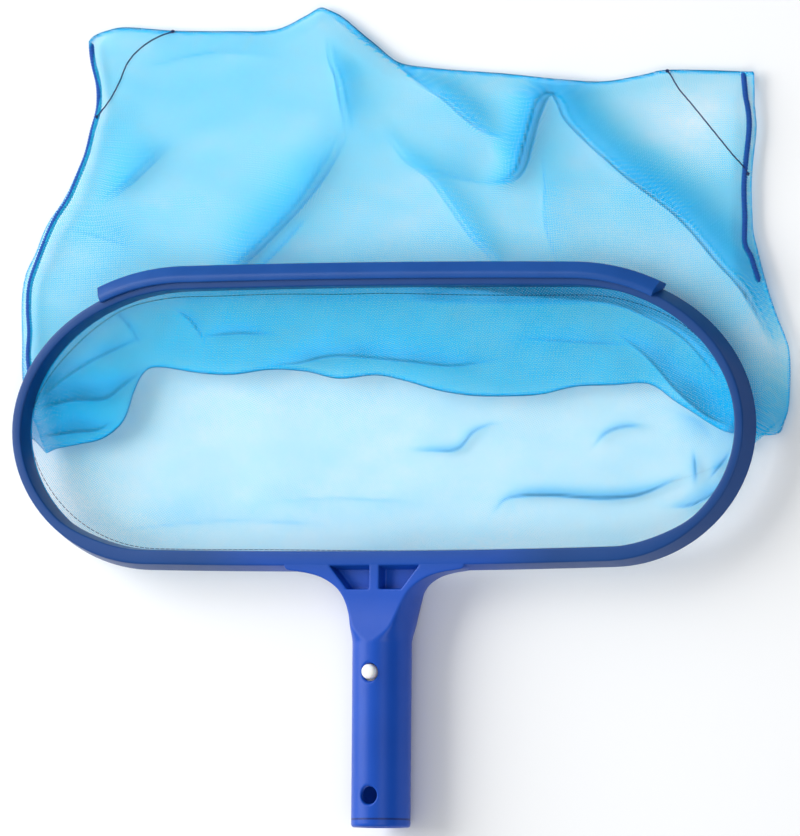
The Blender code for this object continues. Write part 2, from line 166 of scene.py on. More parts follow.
def new_material(name, **constants):
    """A material with its Principled shader, its constant sockets set, a Flow of the place on the object
    to build on, and a function that feeds a socket."""
    material = bpy.data.materials.new(name)
    material.use_nodes = True
    shader = material.node_tree.nodes["Principled BSDF"]
    for socket, value in constants.items():
        socket = socket.replace("_", " ")
        shader.inputs[socket].default_value = (*value, 1) if isinstance(value, tuple) else value
    place = Flow(material.node_tree).node("ShaderNodeTexCoord", out=3)

    def feed(socket, source):
        material.node_tree.links.new(source.output, shader.inputs[socket])
    return material, place, feed


def bumped(height, strength, depth):
    return height.node("ShaderNodeBump", None, {"Strength": strength, "Distance": depth, "Height": height})


studio = bpy.data.worlds.new("studio")
studio.use_nodes = True
background = studio.node_tree.nodes["Background"]
background.inputs["Strength"].default_value = 0.52
sideways = Flow(studio.node_tree).node("ShaderNodeTexCoord").axis(0)
room = sideways.between(-0.3, 0.9).blend((0.98, 0.99, 1.0), (0.30, 0.31, 0.33))
studio.node_tree.links.new(room.output, background.inputs["Color"])
bpy.context.scene.world = studio
bpy.context.scene.view_settings.view_transform = "Standard"

table, table_place, feed_table = new_material("pale_table", Base_Color=(0.93, 0.94, 0.95), Roughness=0.75)
grain = table_place.node("ShaderNodeTexNoise", None, {"Scale": 300.0, "Detail": 4.0})
feed_table("Normal", bumped(grain, 0.05, 0.0002))
bpy.ops.mesh.primitive_plane_add(size=8)
floor = bpy.context.object
floor.name = "table"
floor.data.materials.append(table)

# ---- Hoop ----
# One injection moulding in blue plastic: an oval ring, flat in front and spread towards the back,
# with a groove in its back edge that takes the hem of the net.

hoop_back = hoop_low.z
hoop_front = hoop_high.z
flare = 0.0027
end_face = 0.0046                      # width of the flat front at the hoop's ends and nose
bar_face = 0.0068                      # and at its bar
nose_reach, nose_bow, nose_corner = 0.074, 0.003, 0.095
bar_side_reach, bar_bow, bar_corner = 0.066, 0.0035, 0.075
groove_outer, groove_inner, groove_depth = 0.0030, 0.0060, 0.0055


def outline_y(x, side):
    """The back edge of the hoop on the nose side (+1) or the bar side (-1), from its widest line."""
    if side > 0:
        reach, bow, corner = nose_reach, nose_bow, nose_corner
    else:
        reach, bow, corner = bar_side_reach, bar_bow, bar_corner
    past = max(abs(x) - (half_width - corner), 0.0) / corner
    return side * (reach * math.sqrt(max(1 - past * past, 0.0)) + bow * (1 - (x / half_width) ** 2))


def outline_half(side, arc_steps=30, flat_steps=24):
    corner = nose_corner if side > 0 else bar_corner
    flat = half_width - corner
    turns = [math.pi / 2 * step / arc_steps for step in range(arc_steps)]
    across = [flat + corner * math.cos(turn) for turn in turns]
    across += [flat - 2 * flat * step / flat_steps for step in range(flat_steps + 1)]
    across += [-flat - corner * math.cos(turn) for turn in reversed(turns)]
    return [Vector((x, outline_y(x, side))) for x in across]


def outward_normals(points, closed=True):
    normals = []
    count = len(points)
    for index in range(count):
        ahead = points[(index + 1) % count] if closed else points[min(index + 1, count - 1)]
        behind = points[index - 1] if closed else points[max(index - 1, 0)]
        along = (ahead - behind).normalized()
        normals.append(Vector((along.y, -along.x)))
    return normals


def shade(piece, angle=35):
    piece.data.shade_smooth()
    piece.data.set_sharp_from_angle(angle=math.radians(angle))


def add_piece(name, mesh, material, body="root"):
    piece = linked(name, mesh)
    mesh.materials.clear()
    mesh.materials.append(material)
    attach(piece, body)
    return piece


def skinned(name, strands, looped=False):
    """A skin over strands, each a list of rings of places. A strand is closed by its end faces, or looped."""
    work = bmesh.new()
    for rings in strands:
        rows = [[work.verts.new(place) for place in ring] for ring in rings]
        pairs = list(zip(rows, rows[1:])) + ([(rows[-1], rows[0])] if looped else [])
        for first, second in pairs:
            for index in range(len(first)):
                after = (index + 1) % len(first)
                work.faces.new((first[index], first[after], second[after], second[index]))
        if not looped:
            work.faces.new(rows[0])
            work.faces.new(list(reversed(rows[-1])))
    bmesh.ops.recalc_face_normals(work, faces=work.faces)
    mesh = bpy.data.meshes.new(name)
    work.to_mesh(mesh)
    work.free()
    return mesh


def swept(name, points, normals, section, closed):
    """Lofts sections of (distance in from the outline, height) along the hoop's outline."""
    rings = []
    for point, normal in zip(points, normals):
        places = [(point - normal * inward, height) for inward, height in section(normal)]
        rings.append([(place.x, place.y + widest_y, height) for place, height in places])
    return skinned(name, [rings], closed)


def rounded(before, corner, after, radius, steps=3):
    """Points of a corner rounded to a radius, between its neighbours in a section."""
    corner_point = Vector(corner)
    start = corner_point + (Vector(before) - corner_point).normalized() * radius
    end = corner_point + (Vector(after) - corner_point).normalized() * radius
    points = []
    for step in range(steps + 1):
        share = step / steps
        first = start.lerp(corner_point, share)
        points.append(tuple(first.lerp(corner_point.lerp(end, share), share)))
    return points


def softened(values, low, high):
    """0 below low, 1 above high, smooth from one to the other."""
    t = np.clip((values - low) / (high - low), 0, 1)
    return t * t * (3 - 2 * t)


outer_round, inner_round, foot_round = 0.0009, 0.0008, 0.0005
inner_draft = 0.0007                   # the inner wall leans out by this at its foot
edge_land = 0.0004                     # the outer foot's small flat, and a little more in height
bar_starts, bar_full = 0.75, 0.98      # where the face widens, as the outline turns to the bar


def hoop_section(normal):
    face = end_face + (bar_face - end_face) * softened(-normal.y, bar_starts, bar_full)
    inner = flare + face
    groove_top = hoop_back + groove_depth
    foot = (0.0, hoop_back + edge_land * 1.5)
    outer_corner = (flare, hoop_front)
    inner_corner = (inner, hoop_front)
    inner_foot = (inner + inner_draft, hoop_back)
    return ([(edge_land, hoop_back), foot]
            + rounded(foot, outer_corner, inner_corner, outer_round, 4)
            + rounded(outer_corner, inner_corner, inner_foot, inner_round, 4)
            + rounded(inner_corner, inner_foot, (groove_inner, hoop_back), foot_round, 2)
            + [(groove_inner, hoop_back), (groove_inner, groove_top), (groove_outer, groove_top),
               (groove_outer, hoop_back)])


# The colour is deeper on the hoop than on the neck and the tube, with a faint line near the tube's end
moulded, place, feed_moulded = new_material("moulded_blue", IOR=1.5, Specular_IOR_Level=0.24)
across, along = place.axis(0), place.axis(1)
away_from_neck = across.maths("ABSOLUTE").between(0.025, 0.105)
up_from_neck = along.between(handle_high.y - 0.012, handle_high.y + 0.02)
deep_share = away_from_neck.maths("MAXIMUM", up_from_neck)
mottle = place.noise(34.0, 5.0)
pale_blue = mottle.blend((0.0045, 0.066, 0.43), (0.0080, 0.086, 0.53))
deep_blue = mottle.blend((0.0040, 0.046, 0.200), (0.0060, 0.064, 0.260))
end_line = (along - (handle_low.y + 0.004)).maths("ABSOLUTE").between(0.0002, 0.0007)
feed_moulded("Base Color", end_line.blend((0.006, 0.030, 0.20), deep_share.blend(pale_blue, deep_blue)))
scuffs = place.noise(190.0, 6.0, Roughness=0.7)
feed_moulded("Roughness", 0.27 + scuffs * 0.16)
skin = place.noise(1500.0, 2.0)
feed_moulded("Normal", bumped(skin * 0.6 + mottle * 1.4, 0.12, 0.0004))

ring_points = outline_half(+1)[:-1] + outline_half(-1)[:0:-1]
ring_normals = outward_normals(ring_points)
hoop = add_piece("hoop_moulding", swept("hoop_moulding", ring_points, ring_normals, hoop_section, True),
                 moulded)
shade(hoop, 40)
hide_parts("hoop")

# ---- Handle ----
# The neck and the socket tube of the same moulding: a flat face with two blind pockets and a rib,
# which climbs onto the round tube. Two pairs of holes cross the tube for the clip's buttons.

tube_end = handle_low.y
bore_radius, core_radius, core_tip_radius = 0.0119, 0.0095, 0.007
bore_end = tube_end + 0.092
core_end = tube_end + 0.1129
past_end = tube_end - 0.001
hole_radius = 0.0043
button_y = tube_end + 0.0755
spare_hole_y = tube_end + 0.0155
pocket_floor = 0.0195
pocket_outline = [(0.0027, -0.0664), (0.0027, -0.0784), (0.0147, -0.0784), (0.0247, -0.0664)]


def baked(piece, helpers=()):
    """The mesh of an object with its modifiers applied. The object and its helpers are taken away."""
    bpy.context.view_layer.update()
    mesh = bpy.data.meshes.new_from_object(piece.evaluated_get(bpy.context.evaluated_depsgraph_get()))
    for used in [*helpers, piece]:
        bpy.data.objects.remove(used, do_unlink=True)
    return mesh


def welded(mesh):
    work = bmesh.new()
    work.from_mesh(mesh)
    bmesh.ops.remove_doubles(work, verts=work.verts, dist=1e-6)
    bmesh.ops.recalc_face_normals(work, faces=work.faces)
    work.to_mesh(mesh)
    work.free()
    return mesh


def plate(outline, low, high):
    """A flat outline given thickness along Z."""
    curve = bpy.data.curves.new("plate", "CURVE")
    curve.dimensions = "2D"
    curve.fill_mode = "BOTH"
    curve.extrude = (high - low) / 2
    spline = curve.splines.new("POLY")
    spline.points.add(len(outline) - 1)
    for point, (x, y) in zip(spline.points, outline):
        point.co = (x, y, 0, 1)
    spline.use_cyclic_u = True
    mesh = baked(linked("outline", curve))
    mesh.transform(Matrix.Translation((0, 0, (low + high) / 2)))
    return welded(mesh)


def spun(profile, centre, axis, steps=96):
    """A profile of (radius, distance along the axis) turned about an axis through centre."""
    work = bmesh.new()
    side = Vector((0, 0, 1)) if axis.y else Vector((0, 1, 0))
    verts = [work.verts.new(centre + axis * reach + side * radius) for radius, reach in profile]
    edges = [work.edges.new(pair) for pair in zip(verts, verts[1:])]
    bmesh.ops.spin(work, geom=verts + edges, cent=centre, axis=axis, angle=math.tau, steps=steps,
                   use_duplicate=False)
    mesh = bpy.data.meshes.new("spun")
    work.to_mesh(mesh)
    work.free()
    return welded(mesh)


def carve(mesh, cuts):
    """Joins meshes to a mesh or cuts them out of it, one after another."""
    body = linked("blank", mesh)
    tools = []
    for operation, solver, tool_mesh in cuts:
        tools.append(linked("tool", tool_mesh))
        step = body.modifiers.new("cut", "BOOLEAN")
        step.operation = operation
        step.solver = solver
        step.object = tools[-1]
    return baked(body, tools)


def along_of(line):
    """The distance run along a line at each of its points."""
    return np.concatenate([[0], np.cumsum(np.linalg.norm(np.diff(line, axis=0), axis=1))])


def evenly(points, count):
    """An even run of points along a line of many."""
    line = np.array([tuple(point) for point in points], float)
    run = along_of(line)
    wanted = np.linspace(0, run[-1], count)
    return np.stack([np.interp(wanted, run, line[:, axis]) for axis in range(line.shape[1])], axis=1)


def curve_through(points, count):
    """An even run of points on a smooth curve through a few."""
    knots = np.array(points, float)
    padded = np.vstack([2 * knots[0] - knots[1], knots, 2 * knots[-1] - knots[-2]])
    fine = []
    for index in range(len(knots) - 1):
        before, start, end, after = padded[index:index + 4]
        t = np.linspace(0, 1, 24, endpoint=False)[:, None]
        fine.append(0.5 * (2 * start + (end - before) * t
                           + (2 * before - 5 * start + 4 * end - after) * t ** 2
                           + (3 * start - before - 3 * end + after) * t ** 3))
    return evenly(np.vstack(fine + [knots[-1:]]), count)


# Rings round the neck: Y from the widest line, half width, half width of the flat front, front Z, back Z
neck_rings = curve_through(
    [(-0.0625, 0.0500, 0.0492, 0.02665, 0.0118), (-0.0680, 0.0490, 0.0482, 0.02665, 0.0118),
     (-0.0694, 0.0440, 0.0431, 0.02665, 0.0118), (-0.0703, 0.0378, 0.0368, 0.02665, 0.0117),
     (-0.0722, 0.0305, 0.0294, 0.02665, 0.0114), (-0.0753, 0.0245, 0.0232, 0.02670, 0.0102),
     (-0.0793, 0.0200, 0.0184, 0.02680, 0.0076), (-0.0845, 0.0170, 0.0150, 0.02700, 0.0042),
     (-0.0905, 0.0153, 0.0122, 0.02790, 0.0025), (-0.0975, 0.0147, 0.0088, 0.02970, 0.0022),
     (-0.1040, 0.0145, 0.0006, 0.03115, 0.0022)], 70)
# Rings round the tube: distance from its end, and how far the rounded end has drawn in
no_flat = 0.0001
tube_rings = [(tube_end - widest_y + reach, tube_radius - sunk, no_flat, tube_axis_z + tube_radius - sunk,
               tube_axis_z - tube_radius + sunk)
              for reach, sunk in ((0.060, 0), (0.0012, 0), (0.0004, 0.0004), (0, 0.0012))]


def neck_ring(y, half_width, half_flat, front, back, arc_steps=20):
    """A ring that is flat in front, falls in a quarter ellipse to its side, and is round behind."""
    half = []
    for step in range(arc_steps + 1):
        turn = math.pi / 2 * step / arc_steps
        half.append((half_flat + (half_width - half_flat) * math.sin(turn),
                     tube_axis_z + (front - tube_axis_z) * math.cos(turn)))
    for step in range(1, arc_steps + 1):
        turn = math.pi / 2 * step / arc_steps
        half.append((half_flat + (half_width - half_flat) * math.cos(turn),
                     tube_axis_z - (tube_axis_z - back) * math.sin(turn)))
    return [(x, y + widest_y, z) for x, z in half] + [(-x, y + widest_y, z) for x, z in reversed(half)]


upward = Vector((0, 0, 1))
bore = spun([(0, past_end), (bore_radius, past_end), (bore_radius, bore_end), (core_radius, bore_end),
             (core_tip_radius, core_end), (0, core_end)], Vector((0, 0, tube_axis_z)), Vector((0, 1, 0)))
cuts = [("DIFFERENCE", "EXACT", bore)]
chamfer_radius, drill_reach = 0.0092, 0.02
rim = tube_radius - 0.0011
for hole_y in (button_y, spare_hole_y):
    drill = spun([(0, -drill_reach), (chamfer_radius, -drill_reach), (hole_radius, -rim), (hole_radius, rim),
                  (chamfer_radius, drill_reach), (0, drill_reach)],
                 Vector((0, hole_y, tube_axis_z)), upward, 50)
    cuts.append(("DIFFERENCE", "MANIFOLD", drill))
for side in (-1, +1):
    pocket = plate([(side * x, y + widest_y) for x, y in pocket_outline], pocket_floor, 0.04)
    cuts.append(("DIFFERENCE", "MANIFOLD", pocket))
all_rings = [neck_ring(*ring) for ring in list(neck_rings) + tube_rings]

blank = linked("handle_blank", carve(skinned("loft", [all_rings]), cuts))
melt = blank.modifiers.new("melt", "REMESH")
melt.mode = "VOXEL"
melt.voxel_size = 0.0004
soften = blank.modifiers.new("soften", "SMOOTH")
soften.factor = 0.5
soften.iterations = 4
thin = blank.modifiers.new("thin", "DECIMATE")
thin.ratio = 0.22
handle = add_piece("socket_handle", baked(blank), moulded)
shade(handle, 50)
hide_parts("handle")

# ---- Nose guard ----
# A tougher strip clipped over the nose: a plate on the front and a scraping lip down the outside.
# Its ends are cut square and stand proud of the hoop.

guard_proud = 0.0044
guard_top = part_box("nose_guard")[1].z
guard_reach = 0.151
guard_foot = hoop_back + 0.001
guard_steps = 90
lip_round, crown_round, inner_round_off = 0.0012, 0.0014, 0.0006
skin_gap = 0.0001


def guard_section(normal):
    lip_foot = (-guard_proud * 0.72, guard_foot)
    brow = (-guard_proud, hoop_front - 0.0012)
    crown = (0.0012, guard_top + 0.0002)
    inner_end = (flare + 0.0013, guard_top)
    return ([(-0.0006, guard_foot), lip_foot]
            + rounded(lip_foot, brow, crown, lip_round, 4)
            + rounded(brow, crown, inner_end, crown_round, 4)
            + rounded(crown, inner_end, (inner_end[0], hoop_front), inner_round_off, 3)
            + [(inner_end[0], hoop_front - skin_gap), (flare - 0.0004, hoop_front - skin_gap)])


guard_blue, guard_place, feed_guard = new_material("guard_blue", Specular_IOR_Level=0.22)
streaks = guard_place.noise(60.0, 6.0)
feed_guard("Base Color", streaks.blend((0.0035, 0.058, 0.27), (0.0065, 0.084, 0.36)))
feed_guard("Roughness", 0.22 + streaks * 0.2)
feed_guard("Normal", bumped(guard_place.noise(1400.0, 2.0) + streaks, 0.1, 0.0004))
guard_across = [guard_reach * (1 - 2 * step / guard_steps) for step in range(guard_steps + 1)]
guard_points = [Vector((x, outline_y(x, +1))) for x in guard_across]
guard = add_piece("scraping_lip", swept("scraping_lip", guard_points, outward_normals(guard_points, False),
                                        guard_section, False), guard_blue)
shade(guard, 40)
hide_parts("nose_guard")

# ---- Retainer strips ----
# Six plastic strips, pressed into the groove end to end, pinch the hem of the net against its wall.

strip_blue, strip_place, feed_strip = new_material("strip_blue", Roughness=0.42)
strip_noise = strip_place.noise(120.0, 5.0)
feed_strip("Base Color", strip_noise.blend((0.010, 0.044, 0.20), (0.018, 0.072, 0.31)))
feed_strip("Roughness", 0.34 + strip_noise * 0.2)
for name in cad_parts:
    if name.startswith("retainer_"):
        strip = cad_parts[name]
        strip.data.materials.clear()
        strip.data.materials.append(strip_blue)

# ---- Spring clip ----
# White acetal: a bow deep in the tube and two arms that push a round button out through each hole.

acetal, acetal_place, feed_acetal = new_material("white_acetal", Roughness=0.32, Subsurface_Weight=0.15,
                                                 Subsurface_Scale=0.002)
cloud = acetal_place.noise(240.0, 4.0)
feed_acetal("Base Color", cloud.blend((0.90, 0.90, 0.88), (0.97, 0.97, 0.96)))
feed_acetal("Roughness", 0.25 + cloud * 0.2)
clip_width, clip_thick = 0.009, 0.0016
bow_radius = 0.0034
hinge_y = tube_end + 0.1075
arm_length = 0.037
arm_slope = math.atan2(0.0060, arm_length)
arm_gap = 0.0003                       # between the bow and an arm
stud_radius, dome_round, dome_rise = 0.0036, 0.0016, 0.0013
button_tip = tube_radius + 0.0022 - bow_radius
dome_base = button_tip - dome_round
bow_turns = [math.pi / 2 - math.pi * step / 24 for step in range(25)]
bow_line = [(hinge_y + bow_radius * math.cos(turn), tube_axis_z + bow_radius * math.sin(turn))
            for turn in bow_turns]


def ribbon(line, width, thick):
    """A flat strip bent along a line in the YZ plane, its edges a little rounded."""
    places = [Vector((0, y, z)) for y, z in line]
    wide, deep, trim = width / 2, thick / 2, thick * 0.22
    ring = [(-wide + trim, -deep), (wide - trim, -deep), (wide, -deep + trim), (wide, deep - trim),
            (wide - trim, deep), (-wide + trim, deep), (-wide, deep - trim), (-wide, -deep + trim)]
    rings = []
    for index, point in enumerate(places):
        ahead = places[min(index + 1, len(places) - 1)]
        behind = places[max(index - 1, 0)]
        facing = (ahead - behind).normalized().cross(Vector((1, 0, 0)))
        rings.append([point + Vector((x, 0, 0)) + facing * out for x, out in ring])
    return skinned("ribbon", [rings])


bow = add_piece("spring_bow", ribbon(bow_line, clip_width, clip_thick), acetal)
shade(bow)
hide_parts("clip_bow")
for name, side, body, node in (("spring_arm_front", +1, "clip_front", "clip_arm_front"),
                               ("spring_arm_back", -1, "clip_back", "clip_arm_back")):
    root_z = tube_axis_z + side * bow_radius
    arm_line = [(hinge_y - arm_gap - reach * math.cos(arm_slope), root_z + side * reach * math.sin(arm_slope))
                for reach in (arm_length * step / 12 for step in range(13))]
    foot = (hinge_y - button_y) * math.tan(arm_slope)
    dome = [(0, foot), (stud_radius, foot), (stud_radius, dome_base)]
    for step in range(1, 9):
        angle = math.pi / 2 * step / 8
        dome.append((stud_radius - dome_round * (1 - math.cos(angle)),
                     dome_base + dome_rise * math.sin(angle)))
    dome.append((0, button_tip))
    stud = spun([(radius, side * height) for radius, height in dome],
                Vector((0, button_y + arm_gap, root_z)), upward, 48)
    arm = add_piece(name, carve(ribbon(arm_line, clip_width, clip_thick), [("UNION", "EXACT", stud)]),
                    acetal, body)
    shade(arm)
    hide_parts(node)

# ---- Net bag ----
# One piece of fine nylon mesh, folded double and sewn up both sides, its mouth held in the hoop.
# Its floor side lies flat from the bar to the far edge. The other side comes back over it and under
# the nose into the mouth, and there it is tucked under and rises to the nose.
# All its lines are places from the middle of the hoop's widest line.

rim_inset = groove_inner - 0.0006
half_overlap = 0.0015                  # how far each half of the rim runs past the widest line
rim_line = [point - normal * rim_inset for point, normal in zip(ring_points, ring_normals)]
bar_rim = sorted((point for point in rim_line if point.y <= half_overlap),
                 key=lambda point: math.atan2(point.x, 0.001 - point.y))
nose_rim = sorted((point for point in rim_line if point.y >= -half_overlap),
                  key=lambda point: math.atan2(point.x, 0.001 + point.y))


def metres(points):
    """Places given in millimetres."""
    return [(x / 1000, y / 1000) for x, y in points]


left_seam = metres([(-196, 15), (-200.4, 35.6), (-198.8, 43), (-200, 52.6), (-200.4, 64), (-198.8, 75.6),
                    (-193.4, 87), (-188, 100), (-179, 112.5), (-173, 126), (-168, 138.5), (-165.7, 149.7),
                    (-163, 158), (-162, 165.7), (-165.7, 178.5), (-167.6, 191.5)])
right_seam = metres([(197.2, 70), (193, 82), (189.7, 89), (188.6, 102.7), (188, 117.4), (189, 130),
                     (190.8, 145), (189.7, 157), (186.4, 172.5)])
left_edge = metres([(-193.8, 1.5), (-199.5, 12), (-203.5, 26), (-204, 43), (-204.5, 64), (-202.5, 77),
                    (-197, 88.5), (-191, 102), (-181.5, 115), (-175, 127.5), (-169.5, 140), (-166.8, 150),
                    (-164, 159), (-163.2, 166), (-166.8, 179), (-168.3, 192)])
right_edge = metres([(193.8, 1.5), (199, -4.2), (207.6, -3.3), (210.3, 2), (212.8, 11.3), (213, 34),
                     (210.8, 43), (207, 52), (202.5, 64), (198.5, 76), (195.5, 86), (193, 95), (192.2, 105),
                     (191.8, 118), (192.6, 130), (194.2, 145), (193.2, 157), (192.8, 172.5)])
far_edge = metres([(-168.3, 192), (-165.5, 195.2), (-160, 197.4), (-149, 199), (-123, 197), (-90, 196.2),
                   (-67.5, 196.7), (-51.3, 203), (-43.1, 207), (-38, 206), (-29.5, 202.2), (-13.3, 191.1),
                   (3, 180.2), (19.3, 176.7), (57.3, 173.5), (89.8, 170.1), (111.5, 169), (133.2, 172),
                   (144, 174), (165.8, 173.7), (192.8, 172.5)])
tuck_edge = metres([(-190.5, -10), (-182.5, -8), (-170, -6), (-157.5, -3.6), (-148, 2), (-143, 8.5),
                    (-139, 20), (-134, 29), (-126, 31.5), (-105, 28.5), (-86, 27.4), (-65, 29.7), (-46, 28.6),
                    (-28, 25), (-8, 26.5), (8.6, 23.5), (27, 18.6), (45, 16), (63, 15.6), (81, 16.4),
                    (100, 20), (120, 20.6), (139, 21), (153, 12.8), (164, 6.6), (174, 1), (183, -3),
                    (191.5, -4)])

# Folds: the panels they cross, their run (its left side is the soft one), how far the softness reaches,
# their height and how far they lie over, all in millimetres, and how densely the threads gather, which also
# sets the fold's painted shade
folds = [
    ("back low", [(-41.7, 206), (-27.6, 198.5), (-12.9, 189), (0, 180.5), (10.4, 173.4), (27.8, 163.5),
                  (40.3, 153.4), (51, 145.3), (59.8, 142.6), (67.9, 141.4)], (8.5, 9, 2.8), 0.62),
    ("back low", [(46, 120.5), (56, 120.3), (64, 122.8), (69, 129), (71.5, 138), (75, 150), (79, 160),
                  (85, 165), (92, 160), (99, 148.5), (127.6, 124.5), (157.5, 103), (178.6, 81.5), (191.7, 68),
                  (199, 54), (206, 37)], (13.5, 13, 3), 0.9),
    ("back low", [(-37, 193), (-34.5, 182), (-29.5, 172), (-26.5, 156), (-25.4, 145)], (7.5, 6, 1.8), 0.62),
    ("back low", [(-98, 70), (-83, 83), (-68, 96), (-51, 112), (-36, 131), (-26, 148)], (16.5, 10, 2.4), 0.6),
    ("back", [(-80, 72), (-65, 86), (-54, 96.5), (-43, 107)], (4, 3, 1.6), 0.55),
    ("back low", [(-6.4, 147), (2.3, 137.5), (8.2, 131.4), (21, 123), (30, 112), (42.5, 96), (53, 85),
                  (62, 74)], (8.5, 6, 1.6), 0.5),
    ("low", [(12, 129), (30, 124), (48, 119)], (11, 4, 1), 0.45),
    ("back", [(80, 137), (83, 118), (84, 100), (90, 80)], (13, 4, 0.5), 0.4),
    ("back low", [(-162, 112), (-148, 121), (-132, 134), (-121.5, 143)], (13, 6, 1.6), 0.48),
    ("back", [(-178, 100), (-160, 96), (-140, 90)], (18, 4, 0.4), 0.28),
    ("low", [(-145, 178), (-100, 186), (-60, 183)], (20, 4, 0), 0.3),
    ("low", [(5, -9.2), (20, -9.6), (33, -9.2), (41, -1.4), (49, 2), (57.4, 2.8)], (2.6, 4, 1), 0.75),
    ("low", [(106, -9.5), (111, -4), (116, -0.8), (124, 1), (133.4, 0.4)], (2.4, 4, 1), 0.7),
    ("low", [(52, -42), (58, -35), (66, -32.5), (84, -31.8), (110, -33.5), (131, -32), (149, -26),
             (156, -24)], (3.8, 5, 1.6), 1.0),
    ("low", [(147, -38.5), (160, -37), (173, -30.5), (180, -21)], (5, 4, 2.2), 0.8),
    ("low", [(162, -29), (161.2, -20), (160, -12)], (2.6, 3, 1.6), 0.7),
    ("low", [(169, -25), (174.5, -18), (180, -12)], (3, 3, 1.6), 0.65),
    ("low", [(-150, -48), (-90, -44), (-30, -47)], (16, 2, 0), 0.12),
    ("low", [(15, -36), (-30, -33), (-80, -35)], (13, 2, 0), 0.12),
    ("low", [(170, -6), (164, 2), (150, 8)], (9, 3, 0), 0.3),
    ("tuck", [(-189, 12), (-170, 16.5), (-154, 17), (-144, 23), (-133, 31)], (9, 5, 1.8), 0.75),
    ("tuck", [(-188, 17), (-170, 30), (-150, 40), (-130, 48)], (5, 3, 1.6), 0.5),
    ("tuck", [(-188, -2), (-172, 1), (-158, 2), (-149, 6)], (5, 3, 2), 0.6),
    ("tuck", [(-102, 46), (-82, 48.4), (-61, 46.8)], (5, 3, 1.6), 0.45),
    ("tuck", [(-70, 31.5), (-51, 33.3), (-34.6, 36.7), (-20, 37), (12.6, 34), (35.4, 31.6), (60, 33)],
     (7.5, 4, 2), 0.55),
    ("tuck", [(-115, 60), (-106, 54), (-100, 44)], (3, 2, 1.2), 0.45),
    ("tuck", [(-148, 60), (-140, 52), (-135, 42)], (3, 2, 1.2), 0.4),
    ("tuck", [(120, 48), (140, 35), (156, 19), (172, 6), (185, 0)], (10, 5, 2), 0.75),
    ("tuck", [(70, 44), (100, 42.5), (133, 40)], (6, 3, 1.4), 0.3),
    ("tuck", [(24, 69), (50, 68), (75.8, 65), (118.6, 61), (139.8, 54), (161, 42), (182, 20)],
     (7, 1, 0), 0.55),
]
fold_steps = 90


def panel(bottom, top, left, right):
    """A grid between two edges whose outermost columns swing out to the side edges, less so at the bottom."""
    v = np.linspace(0, 1, len(left))[:, None, None]
    u = np.linspace(0, 1, len(bottom))[None, :, None]
    left_swing = left[:, None] - ((1 - v) * bottom[0] + v * top[0])
    right_swing = right[:, None] - ((1 - v) * bottom[-1] + v * top[-1])
    hold = 7 + 50 * np.clip(1 - v / 0.16, 0, 1)
    return (1 - v) * bottom[None] + v * top[None] + (1 - u) ** hold * left_swing + u ** hold * right_swing


def waves(places, seed, wavelength, count=7):
    """A gentle unevenness: a few sine waves with seeded directions."""
    chance = np.random.default_rng(seed)
    total = np.zeros(places.shape[:2])
    for _ in range(count):
        heading = chance.uniform(0, math.pi)
        length = wavelength * chance.uniform(0.6, 1.6)
        phase = chance.uniform(0, math.tau)
        total += np.sin((places[..., 0] * math.cos(heading) + places[..., 1] * math.sin(heading))
                        * math.tau / length + phase)
    return total / count


def blurred(field, rounds):
    """Each value averaged with its neighbours, a few times over."""
    for _ in range(rounds):
        edged = np.pad(field, 1, mode="edge")
        field = (edged[1:-1, 1:-1] * 2 + edged[:-2, 1:-1] + edged[2:, 1:-1]
                 + edged[1:-1, :-2] + edged[1:-1, 2:]) / 6
    return field


def bell(values, width, power=2):
    return np.exp(-(values / width) ** power)


def beside(line, flat):
    """For each place: its squared distance to a line, its offset to the line's left, its nearest step
    on the line, and the line's left-hand directions."""
    tangents = np.gradient(line, axis=0)
    tangents /= np.linalg.norm(tangents, axis=1)[:, None]
    aside = np.stack([-tangents[:, 1], tangents[:, 0]], axis=1)
    nearest = np.full(len(flat), 1e9)
    offset = np.zeros(len(flat))
    step_at = np.zeros(len(flat), int)
    for index, point in enumerate(line):
        away = flat - point
        squared = (away ** 2).sum(1)
        closer = squared < nearest
        nearest = np.where(closer, squared, nearest)
        offset = np.where(closer, away @ aside[index], offset)
        step_at = np.where(closer, index, step_at)
    return nearest, offset, step_at, aside


height_share, over_share = 0.4, 0.6    # of a fold's stated height and lean that the surface takes
crisp_width, line_width, line_place = 0.0008, 0.0006, 0.0002
longest_taper, taper_share, taper_start = 0.032, 0.42, -0.001


